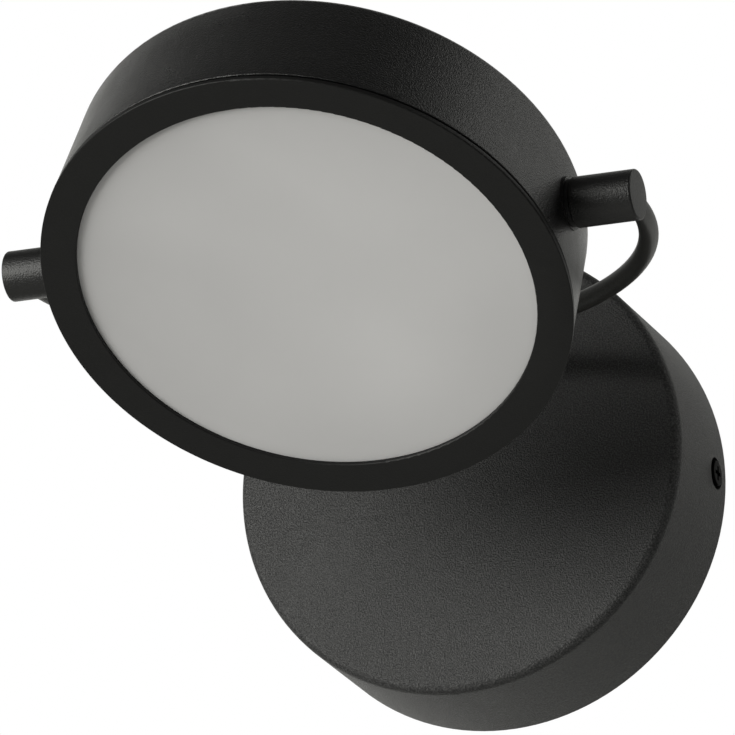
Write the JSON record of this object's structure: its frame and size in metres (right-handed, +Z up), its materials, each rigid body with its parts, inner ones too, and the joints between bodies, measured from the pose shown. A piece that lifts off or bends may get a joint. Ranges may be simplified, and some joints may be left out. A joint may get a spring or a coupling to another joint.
{
  "type": "pivoting spotlight wall light",
  "caption": "Black wall light: round canopy, round-tube bow arm on a swivel and a flat drum head with a frosted round diffuser that tilts in the bow.",
  "frame": {"origin": "centre of the canopy's back, on the wall plane", "axes": "+Z up, +Y into the wall, the lamp stands out along -Y, +X points right for someone who faces the wall from the front"},
  "size_m": [0.1674, 0.1995, 0.1353],
  "materials": {
    "canopy_coat": "black fine-textured powder coat on steel",
    "arm_coat": "satin black powder coat on steel tube",
    "knob_coat": "satin black powder coat on turned steel",
    "head_coat": "satin black powder coat on spun aluminium",
    "ring_coat": "matte black powder coat on aluminium",
    "black_screw": "blackened steel screw",
    "zinc_steel": "bright zinc plate",
    "bare_aluminium": "mill finish aluminium",
    "frosted_diffuser": "frosted opal acrylic",
    "gasket_rubber": "soft silicone",
    "white_reflector": "white satin polycarbonate",
    "white_board": "white solder-masked board",
    "chip_phosphor": "yellow phosphor in clear resin",
    "driver_plastic": "moulded white plastic",
    "circuit_board": "green solder-masked board",
    "coil_wrap": "yellow tape on a wound coil",
    "capacitor_sleeve": "shrunk plastic sleeve",
    "terminal_plastic": "moulded white plastic",
    "lead_sheath": "soft plastic lead sheath",
    "slip_plastic": "black slip plastic"
  },
  "bodies": {
    "base": {"wall_bracket": "zinc_steel", "canopy": "canopy_coat", "canopy_screws": "black_screw", "weld_studs": "zinc_steel", "stud_nuts": "zinc_steel", "driver_case": "driver_plastic", "driver_lid": "driver_plastic", "driver_board": "circuit_board", "driver_coil": "coil_wrap", "driver_capacitor": "capacitor_sleeve", "terminal_block": "terminal_plastic", "terminal_screws": "zinc_steel", "earth_tag": "zinc_steel", "lamp_leads": "lead_sheath", "supply_leads": "lead_sheath", "swivel_washer": "slip_plastic", "swivel_liner": "slip_plastic"},
    "arm": {"swivel_hub": "arm_coat", "swivel_nut": "zinc_steel", "lock_nut": "zinc_steel", "bow_tube": "arm_coat", "arm_leads": "lead_sheath", "knob_right": "knob_coat", "knob_left": "knob_coat", "pivot_axles": "zinc_steel", "pivot_spring_washers": "zinc_steel", "pivot_nuts": "zinc_steel"},
    "head": {"head_housing": "head_coat", "front_ring": "ring_coat", "diffuser": "frosted_diffuser", "diffuser_gasket": "gasket_rubber", "reflector": "white_reflector", "heat_plate": "bare_aluminium", "led_board": "white_board", "head_leads": "lead_sheath", "led_chips": "chip_phosphor", "plate_screws": "zinc_steel", "pivot_washers": "slip_plastic"}
  },
  "joints": [
    {"name": "arm_swivel", "type": "hinge", "parent": "base", "child": "arm", "pos_m": [0, -0.0357, 0.0306], "axis": [0, -1, 0], "range_deg": [-165, 165]},
    {"name": "head_tilt", "type": "hinge", "parent": "arm", "child": "head", "pos_m": [0, -0.1316, 0.0306], "axis": [1, 0, 0], "range_deg": [-149, 60]}
  ]
}
